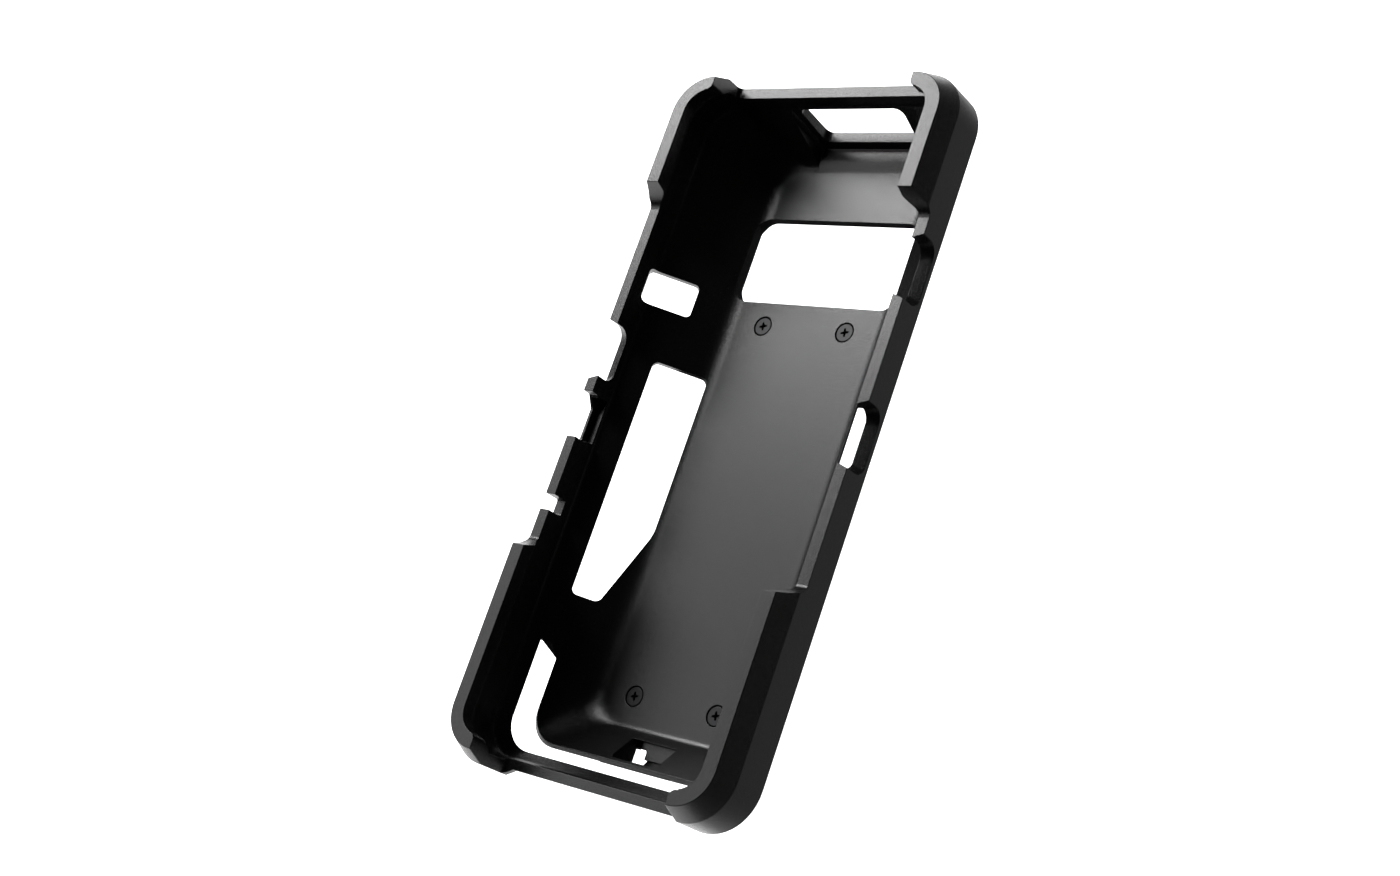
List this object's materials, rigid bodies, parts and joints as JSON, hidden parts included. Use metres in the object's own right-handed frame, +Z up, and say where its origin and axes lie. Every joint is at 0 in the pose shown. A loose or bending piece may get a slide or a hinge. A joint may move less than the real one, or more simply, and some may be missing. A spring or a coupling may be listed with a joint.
{
  "type": "phone case",
  "caption": "Rugged moulded case that clips round a handheld device by its raised corner lips, with key scoops, windows and rear anchors for a hand strap.",
  "frame": {"origin": "under the middle of the case, on the plane that the backs of the two strap anchors stand on", "axes": "+X across the width to the right, +Y along the length towards the end with the top window, +Z up out of the open front"},
  "size_m": [0.086, 0.184, 0.0375],
  "materials": {
    "black_nylon": "satin, fine-grained black nylon",
    "anchor_nylon": "matt black nylon",
    "black_steel": "black oxide",
    "brass": "turned and knurled"
  },
  "bodies": {
    "root": {"case_shell": "black_nylon", "screw_upper_left": "black_steel", "screw_upper_right": "black_steel", "screw_lower_left": "black_steel", "screw_lower_right": "black_steel", "insert_upper_left": "brass", "insert_upper_right": "brass", "insert_lower_left": "brass", "insert_lower_right": "brass", "strap_anchor_upper": "anchor_nylon", "strap_anchor_lower": "anchor_nylon"}
  },
  "joints": []
}
